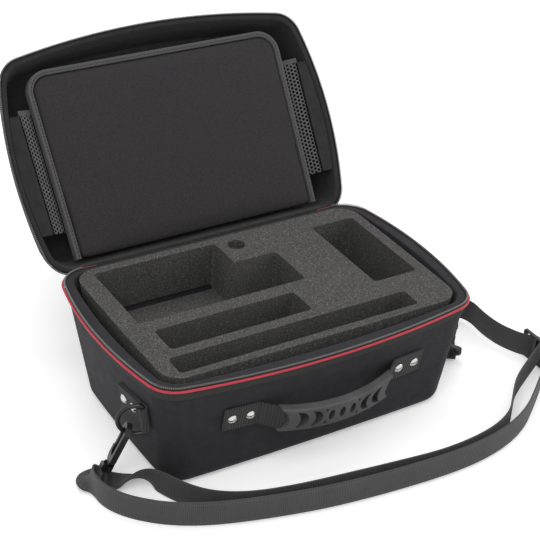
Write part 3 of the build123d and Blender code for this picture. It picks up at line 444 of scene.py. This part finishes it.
# The camera, at the photograph's angle
camera_turn, camera_rise, camera_roll = radians(-32.77), radians(31.4), radians(3.59)
camera_target = Vector((47.48, 78.86, 80.0)) * MM
camera_distance = 1446.39 * MM
frame_pixels = 540.0
focal_pixels = 1488.79
back = Vector((sin(camera_turn) * cos(camera_rise), -cos(camera_turn) * cos(camera_rise), sin(camera_rise)))
right = Vector((cos(camera_turn), sin(camera_turn), 0))
up = back.cross(right)
rolled_right = right * cos(camera_roll) + up * sin(camera_roll)
rolled_up = back.cross(rolled_right)
camera = bpy.data.objects.new("camera", bpy.data.cameras.new("camera"))
bpy.context.scene.collection.objects.link(camera)
camera.data.sensor_width = 36.0
camera.data.lens = 36.0 * focal_pixels / frame_pixels
camera.matrix_world = Matrix.Translation(camera_target + back * camera_distance) @ Matrix(
    (rolled_right, rolled_up, back)
).transposed().to_4x4()
bpy.context.scene.camera = camera

# Shoulder strap: 25 mm webbing on edge, as two cords, from each eye to the adjuster and back
strap_width, strap_thickness = 25 * MM, 1.6 * MM
strap_middle, strap_bottom = 14.75, 2.25
half_width, half_thickness = strap_width / 2, strap_thickness / 2
strap_section = []
for side in (1, -1):
    for share in (-0.96, -0.6, -0.2, 0.2, 0.6, 0.96):
        strap_section.append((side * share * half_width, side * half_thickness))
    strap_section.append((side * half_width, 0.0))


def eye_frame(side):
    """A swivel eye's hang point, the way down its stem, and the way through its window, in millimetres."""
    swivel = joints["eye_swivel_" + side]
    return Vector(swivel["pos_m"]) / MM, Vector(swivel["axis"]), -Vector(joints["gate_snap_" + side]["axis"])


left_hang, left_down, left_through = eye_frame("left")
right_hang, right_down, right_through = eye_frame("right")
eye_pass, eye_bar = 54.1, 57.0
left_pass = left_hang + left_down * eye_pass
right_bar = right_hang + right_down * eye_bar
tail_way = Vector((right_through.x, right_through.y, 0)).normalized()
loop_radius = 5.4
tail_flat, tail_length, first_run = 6.0, 32.0, 15.0


def on_edge(*plan):
    """Stations of the strap on edge: places in plan, at its middle height, with no lean."""
    return [((x, y, strap_middle), 0.0) for x, y in plan]


def tail_station(share, lean):
    """A station of the right tail, which turns from flat at the bar to on edge."""
    spot = right_bar + tail_way * (tail_flat + tail_length * share)
    height = half_width / MM * cos(radians(lean)) + strap_bottom
    return (spot.x, spot.y, height), lean


tail_run = right_bar + tail_way * (tail_flat + tail_length + first_run)
upper_stations = [
    tail_station(share, lean) for share, lean in ((0.0, 90.0), (0.33, 68.0), (0.67, 38.0), (1.0, 0.0))
]
upper_stations += on_edge(
    (tail_run.x, tail_run.y), (226, 24), (241, 25), (250, 10), (247, -15), (249, -38), (255.5, -55),
    (261.5, -64.9), (269.3, -70), (269.3, -78), (261.5, -83.1), (248, -91),
    (235.05, -98.58), (221, -107), (206, -117), (191, -131), (178, -146), (163, -158), (140, -167.5),
    (110, -172.5), (76, -173.5), (40, -169.5), (-10, -163), (-60, -156), (-100, -146.5), (-128, -132),
    (-145, -112), (-158, -84),
)
upper_stations += [
    ((-163, -74.5, 13.6), -25.0),
    ((-170.5, -65, 8.8), -58.0),
    (left_pass - left_through * 13, -90.0),
    (left_pass, -90.0),
]
outer_stations = [
    (left_pass, -90.0),
    (left_pass + left_through * 6, -90.0),
    (left_pass + left_through * 11 + Vector((-1, -1, 0)), -62.0),
    ((-207.5, -53, 14.4), -22.0),
]
outer_stations += on_edge(
    (-207.5, -62), (-207.5, -77), (-202, -92), (-190, -108.5), (-168, -127.5), (-138, -143), (-98, -155.5),
    (-46, -168), (0, -174.5), (40, -178), (75, -180), (110, -179.5), (140, -175), (165, -167.5), (188, -156),
    (206, -142.5), (224, -128.5), (241, -114.5), (259.05, -100.05), (267, -92.5),
    (269.2, -88), (267, -84.6), (262.5, -84.9), (260.9, -89.5), (262.5, -92.8),
)


def strap_cord(name, stations, replaced):
    """A run of the strap on its smooth line, leaning as its stations say."""
    path = smooth_line(name, [Vector(spot) * MM for spot, _ in stations], 10)
    leans = smooth_line(name, [Vector((lean, 0, 0)) for _, lean in stations], 10)
    acrosses = []
    for i, lean in enumerate(leans):
        ahead = path[min(i + 1, len(path) - 1)] - path[max(i - 1, 0)]
        sideways = Vector((ahead.x, ahead.y, 0)).normalized().cross(Vector((0, 0, 1)))
        acrosses.append(Vector((0, 0, 1)) * cos(radians(lean.x)) + sideways * sin(radians(lean.x)))
    strap = piece_of(name, swept(name, path, acrosses, strap_section), strap_webbing, "base")
    strap.data.set_sharp_from_angle(angle=radians(50))
    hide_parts(*replaced)
    return strap


strap_cord(
    "strap_inner", upper_stations, ("strap_tail_right", "strap_upper_run", "strap_inner_run"),
)
strap_cord("strap_outer", outer_stations, ("strap_loop_left", "strap_outer_run"))
softened("strap_sewn_loop", "strap_loop_right", pad_webbing, "base", 0.3 * MM)


def hull_line(node, place, inset, height):
    """A node's outline in a plane's coordinates, moved inwards, at a height. It starts after its longest gap."""
    inverse = place.inverted()
    flat = [inverse @ vertex.co for vertex in nodes[node].data.vertices]
    spots = sorted({(round(spot.x, 6), round(spot.y, 6)) for spot in flat})

    def half(ordered):
        chain = []
        for x, y in ordered:
            while len(chain) > 1:
                (ax, ay), (bx, by) = chain[-2:]
                if (bx - ax) * (y - ay) - (by - ay) * (x - ax) > 0:
                    break
                chain.pop()
            chain.append((x, y))
        return chain[:-1]

    ring = [Vector(spot) for spot in half(spots) + half(spots[::-1])]
    gaps = [(ring[i] - ring[i - 1]).length for i in range(len(ring))]
    first = gaps.index(max(gaps))
    ring = ring[first:] + ring[:first]
    line = []
    for i, spot in enumerate(ring):
        after, before = ring[(i + 1) % len(ring)], ring[i - 1]
        if i == 0:
            before = spot * 2 - after
        if i == len(ring) - 1:
            after = spot * 2 - before
        ahead = ((after - spot).normalized() + (spot - before).normalized()).normalized()
        inner = spot + Vector((-ahead.y, ahead.x)) * inset
        line.append(place @ Vector((inner.x, inner.y, height)))
    return line


class Growth:
    """A Geometry Nodes tree being made, with named inputs."""

    def __init__(self, name, **inputs):
        self.tree = bpy.data.node_groups.new(name, "GeometryNodeTree")
        self.tree.interface.new_socket("Line", in_out="INPUT", socket_type="NodeSocketGeometry")
        self.sockets = {}
        for label, kind in inputs.items():
            made = self.tree.interface.new_socket(label, in_out="INPUT", socket_type="NodeSocket" + kind)
            self.sockets[label] = made.identifier
        self.tree.interface.new_socket("Geometry", in_out="OUTPUT", socket_type="NodeSocketGeometry")
        self.given = self.tree.nodes.new("NodeGroupInput")

    def node(self, kind, settings=None, inputs=None, output=0):
        """Any node: its settings, then its sockets' values or links. Gives one output socket."""
        made = self.tree.nodes.new(kind)
        for name, value in (settings or {}).items():
            setattr(made, name, value)
        for name, value in (inputs or {}).items():
            if isinstance(value, bpy.types.NodeSocket):
                self.tree.links.new(value, made.inputs[name])
            else:
                made.inputs[name].default_value = value
        return made.outputs[output]

    def end(self, geometry):
        """Realizes the instances, sets the material and closes the tree."""
        real = self.node("GeometryNodeRealizeInstances", inputs={"Geometry": geometry})
        smooth = self.node("GeometryNodeSetShadeSmooth", inputs={"Geometry": real})
        inputs = {"Geometry": smooth, "Material": self.given.outputs["Finish"]}
        last = self.node("GeometryNodeSetMaterial", inputs=inputs)
        self.tree.links.new(last, self.tree.nodes.new("NodeGroupOutput").inputs[0])

    def grow(self, name, source, body, slot, **values):
        """Runs the tree on a source object, whose mesh it becomes, as one plain piece."""
        carrier = bpy.data.objects.new(name + "_source", source)
        bpy.context.scene.collection.objects.link(carrier)
        modifier = carrier.modifiers.new("growth", "NODES")
        modifier.node_group = self.tree
        for label, value in values.items():
            modifier[self.sockets[label]] = value
        seen = carrier.evaluated_get(bpy.context.evaluated_depsgraph_get())
        mesh = bpy.data.meshes.new_from_object(seen)
        bpy.data.objects.remove(carrier)
        return piece_of(name, mesh, values["Finish"], body)


def poly_lines(name, lines, closed=False):
    """A curve of straight runs through each line's points, for a tree to follow."""
    curve = bpy.data.curves.new(name, "CURVE")
    curve.dimensions = "3D"
    for line in lines:
        spline = curve.splines.new("POLY")
        spline.points.add(len(line) - 1)
        for point, spot in zip(spline.points, line):
            point.co = (*spot, 1.0)
        spline.use_cyclic_u = closed
    return curve


# A tree for what repeats along a line: rounded beads at an even pitch, long way along or across it
beads = Growth("beads", Pitch="Float", Size="Vector", Off="Vector", Finish="Material")
even = beads.node(
    "GeometryNodeResampleCurve", {"mode": "LENGTH"},
    {"Curve": beads.given.outputs["Line"], "Length": beads.given.outputs["Pitch"]},
)
stand = beads.node(
    "FunctionNodeAlignRotationToVector", {"axis": "Z"}, {"Vector": beads.given.outputs["Off"]}
)
lined = beads.node(
    "FunctionNodeAlignRotationToVector", {"axis": "X", "pivot_axis": "Z"},
    {"Rotation": stand, "Vector": beads.node("GeometryNodeInputTangent")},
)
bead = beads.node("GeometryNodeMeshUVSphere", inputs={"Segments": 8, "Rings": 5, "Radius": 1.0})
beads.end(
    beads.node(
        "GeometryNodeInstanceOnPoints",
        inputs={"Points": even, "Instance": bead, "Rotation": lined, "Scale": beads.given.outputs["Size"]},
    )
)

# Zip: a coil on each side, along the middle of the CAD strip
coil_size = Vector((0.62, 1.1, 0.95)) * MM
coil_pitch = 1.75 * MM
base_low, base_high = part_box("base_zip_teeth")
base_coil = hull_line("base_zip_teeth", Matrix.Identity(4), 1.1 * MM, (base_low.z + base_high.z) / 2)
base_teeth = beads.grow(
    "base_coil", poly_lines("base_coil_line", [base_coil]), "base", "zip_teeth",
    Pitch=coil_pitch, Size=coil_size, Off=Vector((0, 0, 1)), Finish=coil,
)
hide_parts("base_zip_teeth")
lid_coil = hull_line("lid_zip_teeth", lid_place, 1.1 * MM, 9.75 * MM)
lid_teeth = beads.grow(
    "lid_coil", poly_lines("lid_coil_line", [lid_coil]), "lid", "zip_teeth",
    Pitch=coil_pitch, Size=coil_size, Off=lid_out, Finish=coil,
)
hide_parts("lid_zip_teeth")

# Finishes of the CAD nodes that stay
kept = {
    "base_shell": shell_cloth, "lid_shell": lid_cloth, "red_piping": piping, "handle_grip": rubber,
    "handle_rivets": nickel, "tab_rivets": nickel, "strap_adjuster": black_plastic,
}
for side in ("left", "right"):
    for node in ("d_ring", "snap_hook", "hook_gate", "swivel_eye", "zip_slider", "zip_pull"):
        kept[f"{node}_{side}"] = black_metal
for node, finish in kept.items():
    nodes[node].data.materials.clear()
    nodes[node].data.materials.append(finish)

# Cut cloth and foam, with rounded edges
softened("foam_block", "foam_insert", foam, "base", 1.0 * MM)
softened("base_tape", "base_zip_tape", tape_cloth, "base", 0.3 * MM)
softened("lid_tape", "lid_zip_tape", lid_tape_cloth, "lid", 0.3 * MM)
softened("handle_pads", "handle_webbing", pad_webbing, "base", 0.4 * MM)
for side in ("left", "right"):
    softened("tab_" + side, "side_tab_" + side, pad_webbing, "base", 0.4 * MM)
    softened("net_hem_" + side, "gusset_hem_" + side, binding_cloth, "lid", 0.4 * MM)
    softened("lining_" + side, "lining_strip_" + side, lid_cloth, "lid", 0.3 * MM)
softened("panel_edge", "panel_binding", binding_cloth, "lid", 0.3 * MM)


def stuffed(name, node, place, finish, body, voxel, swell):
    """Stands for a padded CAD node: a cloth cover blown up off its flat faces, and held at its edge."""
    mesh = merged_copy(node, name)
    mesh.transform(place.inverted())
    pad = bpy.data.objects.new(name + "_pad", mesh)
    bpy.context.scene.collection.objects.link(pad)
    grid = pad.modifiers.new("grid", "REMESH")
    grid.mode = "VOXEL"
    grid.voxel_size = voxel
    cover = bpy.data.meshes.new_from_object(pad.evaluated_get(bpy.context.evaluated_depsgraph_get()))
    pad.modifiers.clear()
    pad.data = cover
    start = [vertex.co.copy() for vertex in cover.vertices]
    edge = pad.vertex_groups.new(name="edge")
    edge.add([v.index for v in cover.vertices if abs(v.normal.z) < 0.6], 1.0, "REPLACE")
    cloth = pad.modifiers.new("cloth", "CLOTH")
    cloth.settings.use_pressure = True
    cloth.settings.uniform_pressure_force = 4.0
    cloth.settings.effector_weights.gravity = 0.0
    cloth.settings.vertex_group_mass = "edge"
    for step in range(1, 21):
        bpy.context.scene.frame_set(step)
    blown = bpy.data.meshes.new_from_object(pad.evaluated_get(bpy.context.evaluated_depsgraph_get()))
    for vertex, before, after in zip(cover.vertices, start, blown.vertices):
        rise = max(-swell, min(swell, after.co.z - before.z))
        vertex.co = before + Vector((0, 0, rise))
    bpy.context.scene.frame_set(1)
    bpy.data.meshes.remove(blown)
    bpy.data.objects.remove(pad)
    cover.transform(place)
    made = piece_of(name, cover, finish, body)
    fine = made.modifiers.new("fine", "SUBSURF")
    fine.levels = fine.render_levels = 1
    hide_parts(node)
    return made


stuffed("padded_panel", "pocket_panel", lid_place, lining_cloth, "lid", 4 * MM, 3 * MM)

# A row of stitches round the panel's bound edge
stitch_size = Vector((1.35, 0.5, 0.35)) * MM
stitch_pitch = 3.4 * MM
binding_front = 13.9 * MM
panel_seam = hull_line("panel_binding", lid_place, 3.2 * MM, binding_front)
beads.grow(
    "panel_stitches", poly_lines("panel_seam", [panel_seam]), "lid", "binding",
    Pitch=stitch_pitch, Size=stitch_size, Off=lid_out, Finish=thread_cloth,
)

# A tree for netting: a slanted grid's dual, with a hole in each six-sided cell
netting = Growth(
    "netting", Length="Float", Width="Float", Rows="Int", Columns="Int", Slant="Float", Finish="Material"
)
given = netting.given.outputs
grid = netting.node(
    "GeometryNodeMeshGrid",
    inputs={
        "Size X": given["Length"], "Size Y": given["Width"],
        "Vertices X": given["Columns"], "Vertices Y": given["Rows"],
    },
)
spot = netting.node("GeometryNodeInputPosition")
parts = netting.node("ShaderNodeSeparateXYZ", inputs={0: spot}).node
lean = netting.node("ShaderNodeMath", {"operation": "MULTIPLY"}, {0: parts.outputs["Y"], 1: given["Slant"]})
shift = netting.node("ShaderNodeCombineXYZ", inputs={"X": lean})
slanted = netting.node("GeometryNodeSetPosition", inputs={"Geometry": grid, "Offset": shift})
triangles = netting.node("GeometryNodeTriangulate", inputs={0: slanted})
cells = netting.node("GeometryNodeDualMesh", inputs={0: triangles})
ribs = netting.node(
    "GeometryNodeExtrudeMesh", {"mode": "FACES"}, {"Mesh": cells, "Offset Scale": 0.0, "Individual": True}
)
tops = ribs.node.outputs["Top"]
holes = netting.node("GeometryNodeScaleElements", inputs={"Geometry": ribs, "Selection": tops, "Scale": 0.66})
netting.end(
    netting.node("GeometryNodeDeleteGeometry", {"domain": "FACE"}, {"Geometry": holes, "Selection": tops})
)

# Side nets of the pocket, stretched from the panel's back edge to the lid's lining
net_start, net_end = 42.0 * MM, 156.0 * MM
net_foot, net_lean = 133.62 * MM, 3.15 * MM
net_spread, net_rise = 14.0 * MM, 8.4 * MM
net_rear = 21.2 * MM
net_width = (net_spread**2 + net_rise**2) ** 0.5
net_length = ((net_end - net_start) ** 2 + net_lean**2) ** 0.5
net_cell = 3.9 * MM
for side, hand in (("left", -1), ("right", 1)):
    rows = round(net_width / (net_cell * 0.866)) + 1
    net = netting.grow(
        "net_" + side, bpy.data.meshes.new("net_source"), None, "mesh",
        Length=net_length + net_width * 1.5, Width=net_width + net_cell * 0.3, Rows=rows,
        Columns=round((net_length + net_width * 1.5) / net_cell), Slant=0.5774, Finish=net_cloth,
    )
    work = bmesh.new()
    work.from_mesh(net.data)
    bmesh.ops.remove_doubles(work, verts=work.verts, dist=1e-6)
    for way, edge in ((Vector((1, 0, 0)), net_length / 2), (Vector((0, 1, 0)), net_width / 2)):
        for end in (-way, way):
            everything = work.verts[:] + work.edges[:] + work.faces[:]
            bmesh.ops.bisect_plane(work, geom=everything, plane_co=end * edge, plane_no=end, clear_outer=True)
    out = Vector((hand * net_spread, 0, -net_rise)).normalized()
    along = Vector((hand * net_lean, net_start - net_end, 0)).normalized()
    foot = Vector((hand * net_foot, -net_start, net_rear))
    middle = foot + along * net_length / 2 + out * net_width / 2
    lie = Matrix((along, out, along.cross(out))).transposed().to_4x4()
    work.transform(lid_place @ Matrix.Translation(middle) @ lie)
    work.to_mesh(net.data)
    work.free()
    thick = net.modifiers.new("thick", "SOLIDIFY")
    thick.thickness = 0.7 * MM
    thick.offset = 0.0
    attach(net, "lid")
    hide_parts("mesh_gusset_" + side)

# Hinge cloth: one strip from the base's back wall over the hinge line to the lid's back wall
strip_half, strip_thick = 117.0 * MM, 1.0 * MM
strip_points = (
    (105.07, 84.5), (107.2, 94), (108.7, 101.2), (112.4, 108.4), (122, 101.2), (132.5, 97.3), (143.59, 93.33)
)
strip_path = smooth_line("hinge_route", [Vector((0, y, z)) * MM for y, z in strip_points], 8)
strip_section = []
for side in (1, -1):
    for share in (-1, -0.99, 0, 0.99, 1):
        strip_section.append((side * strip_half * share, side * strip_thick / 2))
hinge_mesh = swept("hinge_cloth", strip_path, [Vector((1, 0, 0))] * len(strip_path), strip_section)
hinge_cloth = piece_of("hinge_cloth", hinge_mesh, strip_cloth, None)
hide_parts("hinge_strip")
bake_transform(hinge_cloth)

# Floor, light and background
floor_mesh = bpy.data.meshes.new("floor")
floor_work = bmesh.new()
bmesh.ops.create_circle(floor_work, cap_ends=True, radius=8.0, segments=96)
floor_work.to_mesh(floor_mesh)
floor_work.free()
floor = bpy.data.objects.new("floor", floor_mesh)
floor.location.z = -0.0002
bpy.context.scene.collection.objects.link(floor)
paper = Finish("paper", Roughness=1.0, Specular_IOR_Level=0.0, Emission_Strength=1.0)
paper.set(Base_Color=paper.mix(paper.noise(3.0), (0.93, 0.93, 0.93, 1), (0.95, 0.95, 0.95, 1)))
seen_straight = paper.node("ShaderNodeLightPath", output="Is Camera Ray")
paper.set(Emission_Color=paper.mix(seen_straight, grey(0.0), grey(0.3)))
floor_mesh.materials.append(paper.material)

world = bpy.data.worlds.new("studio")
bpy.context.scene.world = world
world.use_nodes = True
sky = world.node_tree
sky.nodes.clear()
rays = sky.nodes.new("ShaderNodeLightPath")
seen = sky.nodes.new("ShaderNodeMath")
seen.operation = "MAXIMUM"
mirrored = sky.nodes.new("ShaderNodeMath")
mirrored.operation = "MAXIMUM"
ambient = sky.nodes.new("ShaderNodeBackground")
ambient.inputs["Strength"].default_value = 0.6
white = sky.nodes.new("ShaderNodeBackground")
white.inputs["Color"].default_value = (1, 1, 1, 1)
white.inputs["Strength"].default_value = 1.0
ambient.inputs["Color"].default_value = (1, 1, 1, 1)
choice = sky.nodes.new("ShaderNodeMixShader")
sky.links.new(rays.outputs["Is Camera Ray"], seen.inputs[0])
sky.links.new(rays.outputs["Is Glossy Ray"], seen.inputs[1])
sky.links.new(seen.outputs[0], mirrored.inputs[0])
sky.links.new(rays.outputs["Is Transmission Ray"], mirrored.inputs[1])
sky.links.new(mirrored.outputs[0], choice.inputs[0])
sky.links.new(ambient.outputs[0], choice.inputs[1])
sky.links.new(white.outputs[0], choice.inputs[2])
sky.links.new(choice.outputs[0], sky.nodes.new("ShaderNodeOutputWorld").inputs[0])


def soft_lamp(name, spot, aim, size, power):
    """A square soft lamp that points at a place."""
    lamp = bpy.data.lights.new(name, "AREA")
    lamp.size = size
    lamp.energy = power
    made = bpy.data.objects.new(name, lamp)
    bpy.context.scene.collection.objects.link(made)
    made.location = spot
    made.rotation_euler = (Vector(aim) - Vector(spot)).to_track_quat("-Z", "Y").to_euler()


soft_lamp("key_lamp", (-1.0, -1.1, 1.9), (0, 0, 0.1), 1.4, 20.0)
soft_lamp("fill_lamp", (1.7, -0.9, 1.2), (0, 0, 0.1), 1.2, 8.0)
soft_lamp("top_lamp", (0.2, 0.6, 2.2), (0, 0, 0.1), 1.6, 13.0)

bpy.context.scene.view_settings.view_transform = "Standard"
